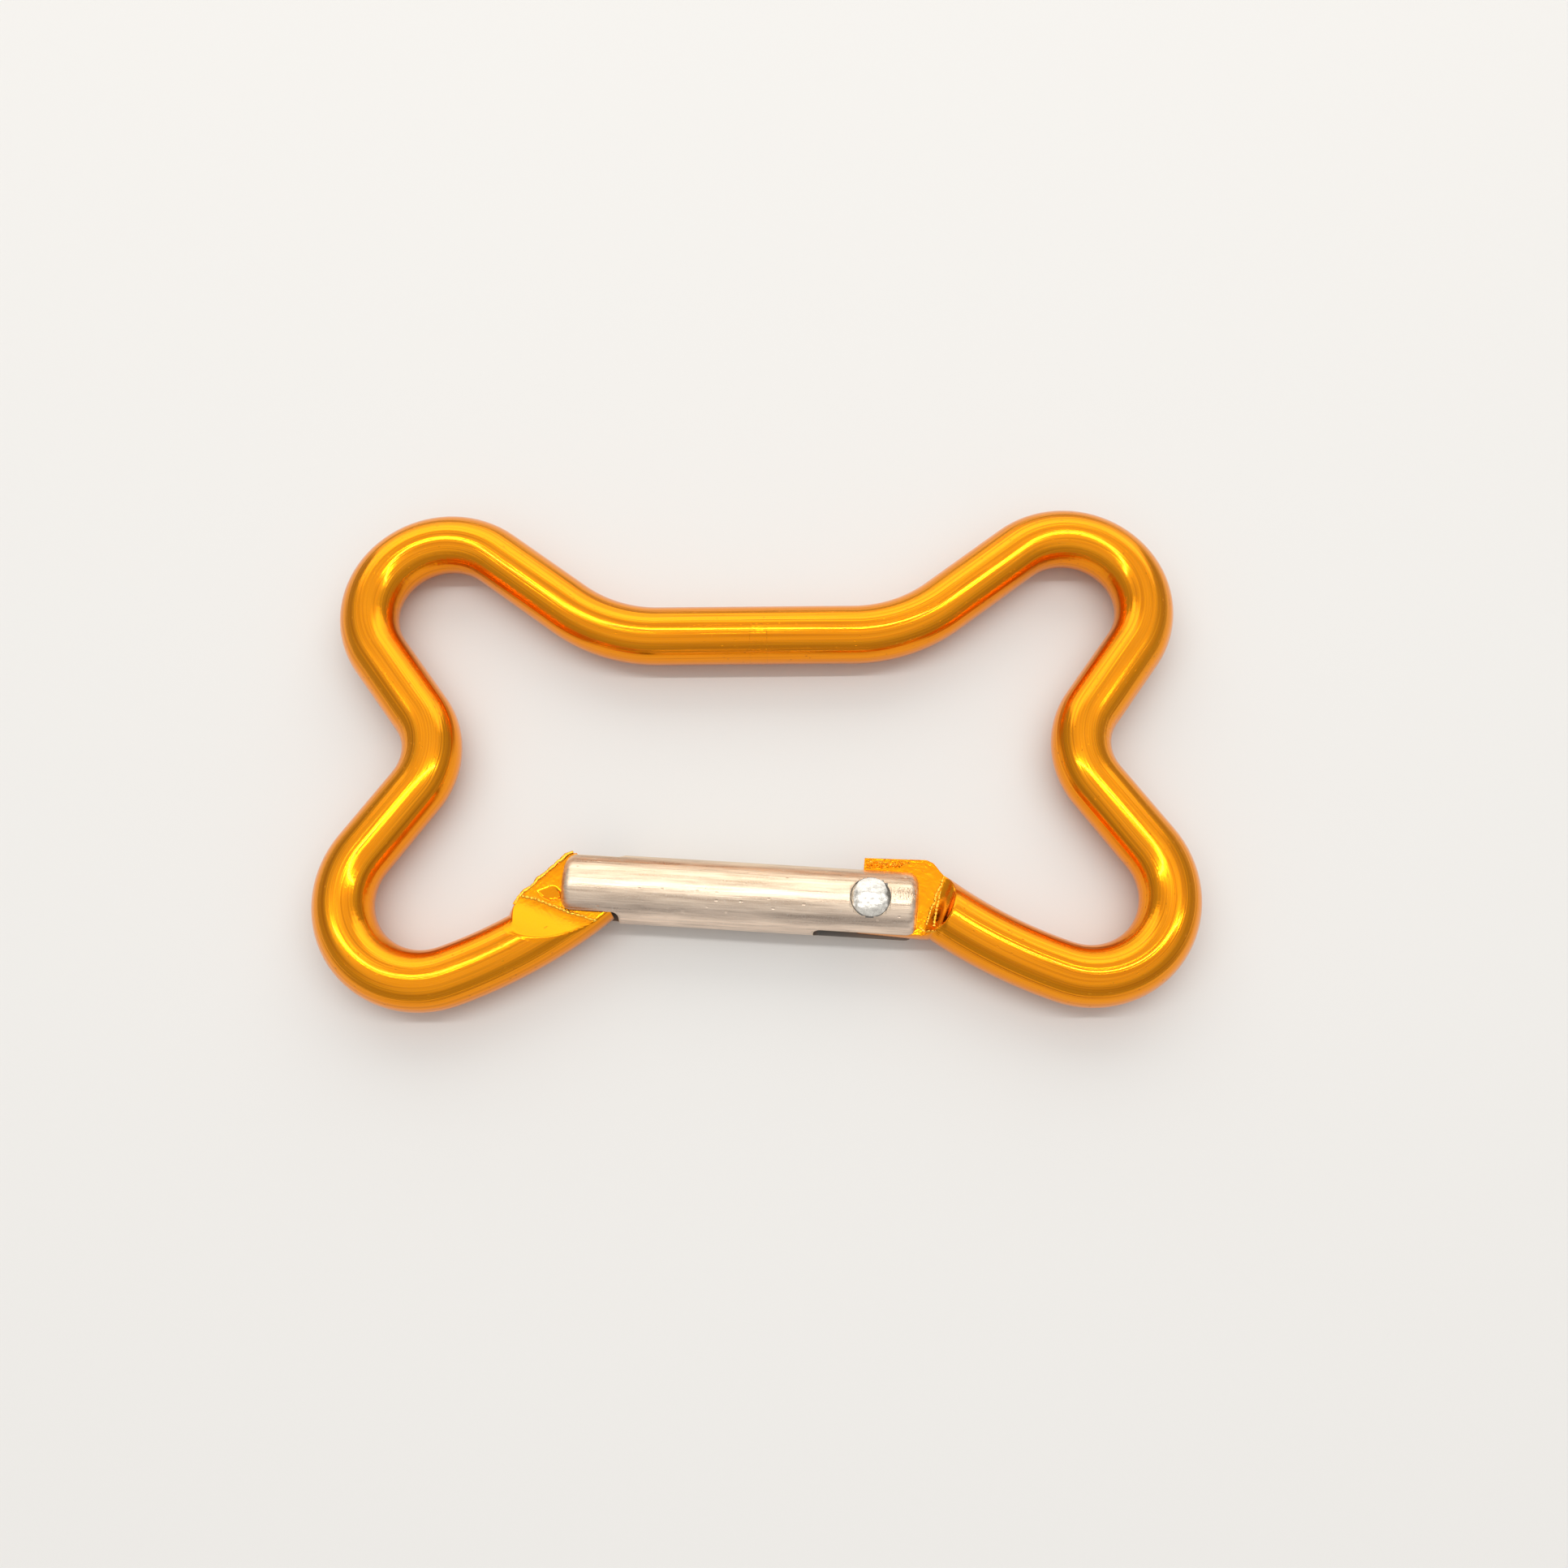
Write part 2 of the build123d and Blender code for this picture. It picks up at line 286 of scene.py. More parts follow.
def past_line(line, points):
    """How far points lie past a shoulder line, positive off the flat."""
    along = (line[1] - line[0]) / np.hypot(*(line[1] - line[0]))
    gap = points - line[0]
    return gap[..., 1] * along[0] - gap[..., 0] * along[1]


def pressed(points, height):
    """Heights above the middle plane once both ends are pressed flat."""
    x = points[..., 0]
    for line, run, rise, sag, half_plate, low, high in PRESSED_ENDS:
        past = past_line(line, points)
        here = (x > low) & (x < high)
        t = np.clip(past / run, 0, 1)
        limit = half_plate + rise * (t - sag * t * (1 - t))
        soft = -FLAT_EDGE_R * np.logaddexp(-np.abs(height) / FLAT_EDGE_R, -limit / FLAT_EDGE_R)
        use = here & (points[..., 1] < PRESSED_TOP) & (past < run)
        height = np.where(use, np.sign(height) * np.maximum(soft, 0), height)
    crease = past_line(TANG_SHOULDER, points) - CREASE_PAST
    near = (x > CREASE_LEFT) & (x < CREASE_RIGHT) & (points[..., 1] < CREASE_TOP)
    upper = smooth(*CREASE_FADE, np.abs(height))
    height -= np.sign(height) * near * upper * CREASE_DEPTH * np.exp(-((crease / CREASE_WIDTH) ** 2))
    gap = points - FACET
    long_way = (gap[..., 0] - FACET_LEAN * gap[..., 1]) / FACET_SIZE[0]
    short_way = (FACET_LEAN * gap[..., 0] + gap[..., 1]) / FACET_SIZE[1]
    share = smooth(1.1, 0.9, np.hypot(long_way, short_way))
    drop = np.minimum(gap @ FACET_SLOPE - FACET_DEPTH, 0)
    return height + np.where(height > 0, drop * share, 0)


def new_mesh(name, points, faces, material):
    mesh = bpy.data.meshes.new(name)
    mesh.from_pydata([tuple(p) for p in points], [], faces)
    mesh.materials.append(material)
    obj = bpy.data.objects.new(name, mesh)
    bpy.context.scene.collection.objects.link(obj)
    return obj


def tube_faces(rings, around, closed=False):
    faces = []
    for i in range(rings - 1 + closed):
        j = (i + 1) % rings
        for k in range(around):
            n = (k + 1) % around
            faces.append((i * around + k, i * around + n, j * around + n, j * around + k))
    return faces


def store(mesh, name, values):
    """Keeps a vector for each point, in millimetres, for the materials to read."""
    attribute = mesh.attributes.new(name, "FLOAT_VECTOR", "POINT")
    attribute.data.foreach_set("vector", (np.asarray(values, float) / MM).ravel())


def mark_flats(mesh):
    """Keeps a number for each point: 1 on the pressed flats and shoulders, 0 on the round rod."""
    spot = np.zeros(len(mesh.vertices) * 3)
    mesh.vertices.foreach_get("co", spot)
    spot = spot.reshape(-1, 3)
    on_flat = np.zeros(len(spot))
    for line, run, rise, _, half_plate, low, high in PRESSED_ENDS:
        past = past_line(line, spot[:, :2])
        here = (spot[:, 0] > low) & (spot[:, 0] < high) & (spot[:, 1] < PRESSED_TOP)
        limit = half_plate + rise * np.clip(past / run, 0, 1)
        lift = np.abs(spot[:, 2] - PIVOT[2])
        fade = smooth(limit - FLAT_MARGIN[0], limit - FLAT_MARGIN[1], lift)
        on_flat += here * (past < run) * fade
    attribute = mesh.attributes.new("flat", "FLOAT", "POINT")
    attribute.data.foreach_set("value", np.clip(on_flat, 0, 1))


def rod_rings():
    """Rings of points along the whole rod, with each point's place on the rod and its strain."""
    tang = tang_half()
    nose = nose_half()
    centres = np.array(nose.points[::-1] + tang.points[1:])
    headings = np.array([h + 180 for h in nose.headings[::-1]] + tang.headings[1:])
    run = np.concatenate(([0], np.cumsum(np.hypot(*np.diff(centres, axis=0).T))))
    end_edge = NOSE_OUTLINE[3] - NOSE_OUTLINE[4]
    end_angle = {-1: math.degrees(math.atan2(end_edge[1], end_edge[0])), 1: 90.0}
    v = np.linspace(0, 2 * math.pi, 721)
    curl = np.gradient(np.radians(headings), run) * ROD_R
    points = np.zeros((len(run), AROUND, 3))
    place = np.zeros_like(points)
    strain = np.zeros((len(run), AROUND))
    for i, centre in enumerate(centres):
        side = -1 if i < len(nose.points) else 1
        to_end = run[i] if side < 0 else run[-1] - run[i]
        turn_to_end = (end_angle[side] - headings[i] - 90) % 180
        turn_to_end -= 180 * (turn_to_end > 90)
        across = direction(headings[i] + 90 + turn_to_end * smooth(*END_TURN, to_end))
        up = down = ROD_R
        if to_end < END_RUN:
            outline = TANG_OUTLINE if side > 0 else NOSE_OUTLINE
            inner = centre - 0.02 * MM * direction(headings[i]) * side
            up_edge = reach_to_outline(inner, across, outline)
            down_edge = reach_to_outline(inner, -across, outline)
            down = max(down, down_edge)
            if side > 0:
                up = max(up, up_edge)
                if to_end < TANG_CORE:
                    up, down = up_edge, down_edge
        pressed_share = smooth(*TANG_PRESS, to_end) if side > 0 else 0
        square = np.where(np.cos(v) > 0, smooth(1, 1.2, up / ROD_R), smooth(1, 1.2, down / ROD_R))
        square = SQUARENESS * np.maximum(square, pressed_share)
        wide = np.sign(np.cos(v)) * np.abs(np.cos(v)) ** (1 - square)
        x = np.where(wide > 0, wide * up, wide * down)
        z = ROD_R * np.sin(v)
        outline_run = np.concatenate(([0], np.cumsum(np.hypot(np.diff(x), np.diff(z)))))
        pick = np.linspace(0, outline_run[-1], AROUND, endpoint=False)
        turn = np.interp(pick, outline_run, v)
        points[i, :, :2] = centre + np.interp(pick, outline_run, x)[:, None] * across
        points[i, :, 2] = np.interp(pick, outline_run, z)
        place[i, :, 0] = run[i] - run[-1] / 2
        place[i, :, 1] = ROD_R * np.cos(turn)
        place[i, :, 2] = ROD_R * np.sin(turn)
        strain[i] = curl[i] * np.cos(turn) * (to_end > END_RUN)
    bearing = TANG_OUTLINE[:, 0].min()
    tang_end = (points[..., 0] > 0) & (points[..., 0] < 9 * MM) & (points[..., 1] < -7 * MM)
    points[..., 0] = np.where(tang_end, np.maximum(points[..., 0], bearing), points[..., 0])
    points[..., 2] = pressed(points[..., :2], points[..., 2]) + PIVOT[2]
    return points, place, strain


def capped_tube(name, points, place, material):
    """A tube through rings of points, closed at both ends with a fan."""
    rings, around, _ = points.shape
    centres = [points[0].mean(axis=0), points[-1].mean(axis=0)]
    flat = np.concatenate((points.reshape(-1, 3), centres))
    faces = tube_faces(rings, around)
    for k in range(around):
        n = (k + 1) % around
        faces.append((rings * around, n, k))
        faces.append((rings * around + 1, (rings - 1) * around + k, (rings - 1) * around + n))
    obj = new_mesh(name, flat, faces, material)
    ends = [place[0].mean(axis=0), place[-1].mean(axis=0)]
    store(obj.data, "place", np.concatenate((place.reshape(-1, 3), ends)))
    return obj


def burr_line(path, height, beady, seed):
    """Rings of points along a raised burr, half sunk in the metal's upper face and more or less beady."""
    rng = np.random.default_rng(seed)
    path = np.array(path) * MM
    corners = np.concatenate(([0], np.cumsum(np.hypot(*np.diff(path, axis=0).T))))
    run = np.arange(0, corners[-1], BURR_STEP)
    knots = np.cumsum(rng.uniform(0.2, 0.42, BEADS)) * MM
    bead = np.abs(np.sin(math.pi * np.interp(run, knots, np.arange(BEADS))))
    sizes = np.interp(run, knots, rng.uniform(0.55, 1.0, BEADS))
    radius = height * (1 - beady * (1 - bead)) * sizes
    radius[0] = radius[-1] = height * 0.1
    sway = np.interp(run, knots, rng.uniform(-0.7, 0.7, BEADS)) * height
    x, y = np.interp(run, corners, path[:, 0]), np.interp(run, corners, path[:, 1])
    ahead = np.stack((np.gradient(x), np.gradient(y)), axis=1)
    ahead /= np.linalg.norm(ahead, axis=1)[:, None]
    side = np.stack((-ahead[:, 1], ahead[:, 0]), axis=1)
    turns = 2 * math.pi * np.arange(BURR_AROUND) / BURR_AROUND
    points = np.zeros((len(run), BURR_AROUND, 3))
    points[..., :2] = np.stack((x, y), axis=1)[:, None] + side[:, None] * (
        sway[:, None, None] + BURR_WIDTH * radius[:, None, None] * np.cos(turns)[None, :, None])
    surface = pressed(np.stack((x, y), axis=1), np.full(len(run), 0.99 * ROD_R))
    points[..., 2] = PIVOT[2] + surface[:, None] + radius[:, None] * np.sin(turns)[None]
    return points


def crinkles(outline, count, seed):
    """Small sharp flakes scattered over a patch of a flat's upper face: one open-bottomed mesh."""
    rng = np.random.default_rng(seed)
    outline = np.array(outline) * MM
    points, faces = [], []
    while len(faces) < count * 5:
        x, y = rng.uniform(outline.min(axis=0), outline.max(axis=0))
        if not reach_to_outline(np.array((x, y)), np.array((1.0, 0.0)), outline):
            continue
        size = rng.uniform(0.08, 0.17) * MM
        turn = rng.uniform(0, 2 * math.pi)
        base = len(points)
        for k in range(5):
            a = turn + 2 * math.pi * k / 5
            r = size * rng.uniform(0.6, 1.1)
            points.append((x + r * math.cos(a), y + 0.6 * r * math.sin(a),
                           PIVOT[2] + TANG_HALF - 0.02 * MM))
        points.append((x + rng.uniform(-0.4, 0.4) * size, y + rng.uniform(-0.3, 0.3) * size,
                       PIVOT[2] + TANG_HALF + rng.uniform(0.03, 0.1) * MM))
        faces += [(base + k, base + (k + 1) % 5, base + 5) for k in range(5)]
    return points, faces


def join(target, others):
    """Makes others part of target's mesh."""
    with bpy.context.temp_override(
        active_object=target, object=target, selected_objects=[target, *others],
        selected_editable_objects=[target, *others],
    ):
        bpy.ops.object.join()


def settle(obj, sharp_degrees):
    """Merges doubled points, turns every face outwards and shades the mesh smooth up to an angle."""
    bm = bmesh.new()
    bm.from_mesh(obj.data)
    bmesh.ops.remove_doubles(bm, verts=bm.verts, dist=0.002 * MM)
    bmesh.ops.recalc_face_normals(bm, faces=bm.faces)
    bm.to_mesh(obj.data)
    bm.free()
    obj.data.shade_smooth()
    obj.data.set_sharp_from_angle(angle=math.radians(sharp_degrees))


# ---- Turned and cut pieces, made along the gate's axis ---------------------------------------------
GATE_FRAME = Matrix.Identity(4)
for column, axis in enumerate((GATE_DIR, GATE_SIDE, (0, 0, 1), PIVOT)):
    for row in range(3):
        GATE_FRAME[row][column] = axis[row]
UPRIGHT = Matrix.Translation(Vector(PIVOT)) @ Matrix.Rotation(math.radians(-90), 4, "Y")


def resample(profile, step):
    """The same profile with its long straight parts divided into steps."""
    out = [profile[0]]
    for a, b in zip(profile, profile[1:]):
        count = max(1, math.ceil(math.dist(a, b) / step))
        for i in range(1, count + 1):
            out.append((a[0] + (b[0] - a[0]) * i / count, a[1] + (b[1] - a[1]) * i / count))
    return out


def corner(x, r, radius, first, last, count=8):
    """Points of a rounded corner about (x, r), between two directions in degrees."""
    angles = np.radians(np.linspace(first, last, count))
    return [(x + radius * math.cos(a), r + radius * math.sin(a)) for a in angles]


def turned(name, profile, around, matrix, material):
    """A solid turned about local x from (x, radius) points whose first and last radius is 0."""
    points = [(profile[0][0], 0, 0), (profile[-1][0], 0, 0)]
    inner = profile[1:-1]
    for x, r in inner:
        for k in range(around):
            a = 2 * math.pi * k / around
            points.append((x, r * math.cos(a), r * math.sin(a)))
    faces = [tuple(i + 2 for i in face) for face in tube_faces(len(inner), around)]
    last = 2 + (len(inner) - 1) * around
    for k in range(around):
        n = (k + 1) % around
        faces.append((0, 2 + n, 2 + k))
        faces.append((1, last + k, last + n))
    obj = new_mesh(name, points, faces, material)
    store(obj.data, "place", points)
    obj.data.transform(matrix)
    return obj


def prism(outline, half_width, matrix, material):
    """A cutter: an outline in local x and z, drawn out both ways along local y."""
    count = len(outline)
    points = [(x, y, z) for y in (-half_width, half_width) for x, z in outline]
    faces = [tuple(range(count))[::-1], tuple(range(count, 2 * count))]
    for k in range(count):
        n = (k + 1) % count
        faces.append((k, n, n + count, k + count))
    obj = new_mesh("cutter", points, faces, material)
    obj.data.transform(matrix)
    return obj


def hole(radius, material):
    """A cutter for an upright round hole about the pivot."""
    profile = [(-HOLE_REACH, 0), (-HOLE_REACH, radius), (HOLE_REACH, radius), (HOLE_REACH, 0)]
    return turned("cutter", profile, HOLE_AROUND, UPRIGHT, material)


def carve(obj, cutters):
    """Cuts each cutter out of a piece and takes the cutter away."""
    for cutter in cutters:
        settle(cutter, 30)
        cut = obj.modifiers.new("cut", "BOOLEAN")
        cut.operation = "DIFFERENCE"
        cut.solver = "EXACT"
        cut.object = cutter
    bpy.context.view_layer.update()
    evaluated = obj.evaluated_get(bpy.context.evaluated_depsgraph_get())
    mesh = bpy.data.meshes.new_from_object(evaluated)
    obj.modifiers.clear()
    obj.data = mesh
    for cutter in cutters:
        bpy.data.objects.remove(cutter)


def soften_edges(obj, degrees, width):
    """Rounds every edge sharper than an angle."""
    bm = bmesh.new()
    bm.from_mesh(obj.data)
    bmesh.ops.remove_doubles(bm, verts=bm.verts, dist=SLIVER)
    bmesh.ops.recalc_face_normals(bm, faces=bm.faces)
    bmesh.ops.dissolve_degenerate(bm, dist=SLIVER, edges=bm.edges)
    limit = math.radians(degrees)
    edges = [e for e in bm.edges if e.is_manifold and e.calc_face_angle(0) > limit]
    bmesh.ops.bevel(
        bm, geom=edges, offset=width, segments=3, profile=0.5, affect="EDGES", clamp_overlap=True,
        offset_type="OFFSET",
    )
    bm.to_mesh(obj.data)
    bm.free()


# ---- Materials -------------------------------------------------------------------------------------
class Nodes:
    """A material's node tree, with short ways to add to it."""

    def __init__(self, name):
        self.material = bpy.data.materials.new(name)
        self.material.use_nodes = True
        self.tree = self.material.node_tree
        self.shader = self.tree.nodes["Principled BSDF"]

    def link(self, value, socket):
        if isinstance(value, bpy.types.NodeSocket):
            self.tree.links.new(value, socket)
        else:
            socket.default_value = value

    def add(self, kind, inputs=None, **settings):
        node = self.tree.nodes.new(kind)
        for key, value in settings.items():
            setattr(node, key, value)
        for key, value in (inputs or {}).items():
            self.link(value, node.inputs[key])
        return node

    def place(self, scale, offset=(0, 0, 0)):
        """The stored position in millimetres, stretched by a scale for each direction."""
        stored = self.add("ShaderNodeAttribute", attribute_name="place").outputs["Vector"]
        return self.add(
            "ShaderNodeMapping", {"Vector": stored, "Scale": scale, "Location": offset},
        ).outputs[0]

    def noise(self, vector, scale=1.0, detail=2.0, roughness=0.5):
        return self.add(
            "ShaderNodeTexNoise",
            {"Vector": vector, "Scale": scale, "Detail": detail, "Roughness": roughness},
        ).outputs["Fac"]

    def spots(self, vector, scale, size):
        """1 in small round spots scattered at random, 0 elsewhere."""
        cells = self.add(
            "ShaderNodeTexVoronoi", {"Vector": vector, "Scale": scale}, feature="F1",
        ).outputs["Distance"]
        return self.between(cells, size, size * 0.5)

    def between(self, value, low, high, to_low=0.0, to_high=1.0):
        return self.add(
            "ShaderNodeMapRange",
            {"Value": value, "From Min": low, "From Max": high, "To Min": to_low, "To Max": to_high},
        ).outputs[0]

    def math(self, operation, a, b):
        return self.add("ShaderNodeMath", {0: a, 1: b}, operation=operation).outputs[0]

    def mix(self, factor, a, b):
        node = self.add("ShaderNodeMix", data_type="RGBA")
        self.link(factor, node.inputs[0])
        self.link(a, node.inputs[6])
        self.link(b, node.inputs[7])
        return node.outputs[2]

    def bump(self, height, distance, normal=None):
        inputs = {"Height": height, "Distance": distance, "Strength": 1.0}
        if normal is not None:
            inputs["Normal"] = normal
        return self.add("ShaderNodeBump", inputs).outputs[0]

    def finish(self, **values):
        for key, value in values.items():
            self.link(value, self.shader.inputs[key.replace("_", " ")])
        return self.material


def anodised_orange():
    """Glossy orange anodising over drawn aluminium, with fine lines along the rod and small pits."""
    n = Nodes("anodised_orange")
    fine = n.noise(n.place((0.10, 15, 15)), detail=3)
    broad = n.noise(n.place((0.04, 3.6, 3.6), (3, 1, 2)), detail=2)
    cloudy = n.noise(n.place((0.35, 0.8, 0.8)), detail=4)
    mottled = n.noise(n.place((3.2, 3.2, 3.2)), detail=3)
    on_flat = n.add("ShaderNodeAttribute", attribute_name="flat").outputs["Fac"]
    on_rod = n.math("SUBTRACT", 1.0, on_flat)
    pits = n.math("MULTIPLY", n.spots(n.place((1.5, 3.0, 3.0)), 1.0, 0.13),
                  n.between(cloudy, 0.42, 0.58))
    lines = n.math("ADD", n.math("MULTIPLY", fine, 0.3), n.math("MULTIPLY", broad, 1.5))
    height = n.math("ADD", n.math("MULTIPLY", lines, on_rod),
                    n.math("MULTIPLY", mottled, n.math("MULTIPLY", on_flat, 0.7)))
    height = n.math("SUBTRACT", height, n.math("MULTIPLY", pits, 0.9))
    squeezed = n.add("ShaderNodeAttribute", attribute_name="strain").outputs["Fac"]
    wrinkles = n.noise(n.place((2.6, 0.9, 0.9), (1, 2, 9)), detail=4, roughness=0.6)
    wrinkles = n.math("MULTIPLY", wrinkles, n.between(squeezed, 0.12, 0.4))
    height = n.math("ADD", height, n.math("MULTIPLY", wrinkles, 2.6))
    colour = n.mix(n.between(fine, 0.3, 0.7), (0.92, 0.285, 0.004, 1), (1.0, 0.36, 0.008, 1))
    dark_lines = n.math("MULTIPLY", n.between(broad, 0.33, 0.46, 0.5, 0.0), on_rod)
    colour = n.mix(dark_lines, colour, (0.62, 0.17, 0.001, 1))
    colour = n.mix(n.math("MULTIPLY", on_flat, 0.8), colour, (0.97, 0.325, 0.002, 1))
    colour = n.mix(n.math("MULTIPLY", pits, 0.6), colour, (0.35, 0.08, 0.003, 1))
    rough = n.between(n.math("ADD", fine, n.math("MULTIPLY", cloudy, 0.6)), 0.5, 1.1, 0.12, 0.24)
    return n.finish(
        Base_Color=colour, Metallic=1.0, Roughness=rough, Normal=n.bump(height, 0.000018),
        Coat_Weight=0.15, Coat_Roughness=0.06,
    )


def burr_edge():
    """The same anodising on raised burrs, where it is thin and catches the light."""
    n = Nodes("burr_edge")
    grain = n.noise(n.place((4, 4, 4)), detail=3)
    return n.finish(
        Base_Color=n.mix(grain, (0.95, 0.38, 0.01, 1), (1.0, 0.62, 0.09, 1)), Metallic=1.0,
        Roughness=n.between(grain, 0.3, 0.7, 0.16, 0.3), Normal=n.bump(grain, 0.00002),
    )


def satin_gate():
    """Bright satin metal with drawn lines along the bar and small dings, with a painted warm reflection
    on the upper side that fades to cooler metal on the low side.
    """
    n = Nodes("satin_gate")
    fine = n.noise(n.place((0.14, 18, 18)), detail=3)
    broad = n.noise(n.place((0.05, 3.2, 3.2), (5, 2, 7)), detail=3)
    streaky = n.noise(n.place((0.16, 2.4, 2.4), (1, 8, 3)), detail=5, roughness=0.65)
    grain = n.noise(n.place((7, 9, 9)), detail=4, roughness=0.7)
    dings = n.spots(n.place((0.9, 1.5, 1.5), (2, 4, 1)), 1.0, 0.14)
    stored = n.add("ShaderNodeAttribute", attribute_name="place").outputs["Vector"]
    spot = n.add("ShaderNodeSeparateXYZ", {0: stored}).outputs
    height = n.math("ADD", n.math("MULTIPLY", fine, 0.6), n.math("MULTIPLY", broad, 1.6))
    height = n.math("ADD", height, n.math("MULTIPLY", grain, 0.45))
    height = n.math("SUBTRACT", height, n.math("MULTIPLY", dings, 1.2))
    scratched = n.math("MULTIPLY", n.between(spot[0], -1.5, -1.7), n.math(
        "MULTIPLY", n.between(spot[1], -0.9, -0.75), n.between(spot[1], 0.1, -0.05)))
    ticks = n.between(n.noise(n.place((9, 2.5, 2.5)), detail=1), 0.5, 0.62)
    height = n.math("SUBTRACT", height, n.math("MULTIPLY", n.math("MULTIPLY", ticks, scratched), 1.6))
    # painted reflection: the upper side is tinted warmer, fading to a cooler tone towards the low side
    painted_reflection_fade = n.between(spot[1], -0.2, 1.7)
    warm = n.mix(n.between(streaky, 0.36, 0.62), (0.62, 0.46, 0.32, 1), (0.97, 0.79, 0.58, 1))
    cool = n.mix(n.between(streaky, 0.36, 0.62), (0.60, 0.475, 0.385, 1), (0.95, 0.765, 0.62, 1))
    colour = n.mix(painted_reflection_fade, warm, cool)
    colour = n.mix(n.between(grain, 0.55, 0.75, 0, 0.5), colour, (0.92, 0.87, 0.80, 1))
    rough = n.between(n.math("ADD", grain, streaky), 0.7, 1.3, 0.25, 0.4)
    return n.finish(
        Base_Color=colour, Metallic=1.0, Roughness=rough, Normal=n.bump(height, 0.000016),
    )


def milled_inside():
    """Dull metal inside the gate's slots and bore, with a cutter's marks, its dark colour painted shade
    for these recesses.
    """
    n = Nodes("milled_inside")
    marks = n.noise(n.place((6, 0.6, 0.6)), detail=3)
    # the dark colours are painted shade for the recesses inside the slots, bore and rivet seats
    return n.finish(
        Base_Color=n.mix(marks, (0.16, 0.145, 0.13, 1), (0.30, 0.28, 0.26, 1)), Metallic=0.7,
        Roughness=0.5, Normal=n.bump(marks, 0.00001),
    )


def peened_rivet():
    """Grey hammered metal."""
    n = Nodes("peened_rivet")
    dents = n.noise(n.place((1.5, 1.5, 1.5), (4, 1, 6)), detail=1)
    grain = n.noise(n.place((9, 9, 9)), detail=4, roughness=0.7)
    height = n.math("ADD", dents, n.math("MULTIPLY", grain, 0.05))
    colour = n.mix(n.between(grain, 0.35, 0.65), (0.60, 0.575, 0.53, 1), (0.84, 0.81, 0.75, 1))
    return n.finish(
        Base_Color=colour, Metallic=1.0, Roughness=n.between(grain, 0.3, 0.7, 0.24, 0.38),
        Normal=n.bump(height, 0.00013),
    )


def turned_steel(name, colour_low, colour_high):
    """Steel with turning marks round its axis."""
    n = Nodes(name)
    rings = n.noise(n.place((14, 0.5, 0.5)), detail=3)
    return n.finish(
        Base_Color=n.mix(rings, colour_low, colour_high), Metallic=1.0,
        Roughness=n.between(rings, 0.3, 0.7, 0.25, 0.4), Normal=n.bump(rings, 0.000008),
    )


def pale_floor():
    n = Nodes("pale_floor")
    return n.finish(Base_Color=(0.78, 0.775, 0.765, 1), Roughness=0.6)


FRAME_SKIN = anodised_orange()
BURR_SKIN = burr_edge()
GATE_SKIN = satin_gate()
INSIDE_PAINTED_SHADE_SKIN = milled_inside()
RIVET_SKIN = peened_rivet()
PIN_SKIN = turned_steel("turned_steel", (0.42, 0.42, 0.43, 1), (0.62, 0.62, 0.63, 1))
WIRE_SKIN = turned_steel("spring_wire", (0.35, 0.36, 0.38, 1), (0.55, 0.56, 0.58, 1))


# ---- The frame rod ---------------------------------------------------------------------------------
rod_points, rod_place, rod_strain = rod_rings()
rod = capped_tube("frame_rod", rod_points, rod_place, FRAME_SKIN)
squeezed = rod.data.attributes.new("strain", "FLOAT", "POINT")
squeezed.data.foreach_set("value", np.concatenate((rod_strain.ravel(), (0, 0))))
settle(rod, 40)
carve(rod, [hole(RIVET_R + RIVET_GAP, FRAME_SKIN)])
burrs = []
lines = [(path, 0.65) for path in (*TANG_BURRS, NOSE_BURR)] + [(NOSE_RIM, 0.15)]
for seed, (path, beady) in enumerate(lines):
    beads = burr_line(path, BURR_HEIGHT, beady, seed)
    burrs.append(capped_tube("burr", beads, beads, BURR_SKIN))
flake_points, flake_faces = crinkles(LIP_PATCH, 170, 3)
flakes = new_mesh("flakes", flake_points, flake_faces, BURR_SKIN)
store(flakes.data, "place", flake_points)
join(rod, [*burrs, flakes])
mark_flats(rod.data)
rod.data.shade_smooth()
rod.data.set_sharp_from_angle(angle=math.radians(38))
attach(rod, "frame")
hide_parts("frame")

# ---- The gate --------------------------------------------------------------------------------------
gate_profile = resample(
    [(HINGE_END, 0), (HINGE_END, GATE_R - GATE_EDGE_R)]
    + corner(HINGE_END + GATE_EDGE_R, GATE_R - GATE_EDGE_R, GATE_EDGE_R, 180, 90)
    + corner(FREE_END - GATE_EDGE_R, GATE_R - GATE_EDGE_R, GATE_EDGE_R, 90, 0)
    + [(FREE_END, 0)], 0.3 * MM)
gate = turned("gate_bar", gate_profile, 128, GATE_FRAME, GATE_SKIN)
settle(gate, 40)


def slot_outline(start, end, half_width, round_side):
    """Outline of a slot in local x and z, rounded at its closed end."""
    x = end - SLOT_CORNER_R if round_side > 0 else start + SLOT_CORNER_R
    z = half_width - SLOT_CORNER_R
    open_x = start if round_side > 0 else end
    if round_side > 0:
        return ([(open_x, -half_width)] + corner(x, -z, SLOT_CORNER_R, -90, 0)
                + corner(x, z, SLOT_CORNER_R, 0, 90) + [(open_x, half_width)])
    return ([(open_x, half_width)] + corner(x, z, SLOT_CORNER_R, 90, 180)
            + corner(x, -z, SLOT_CORNER_R, 180, 270) + [(open_x, -half_width)])


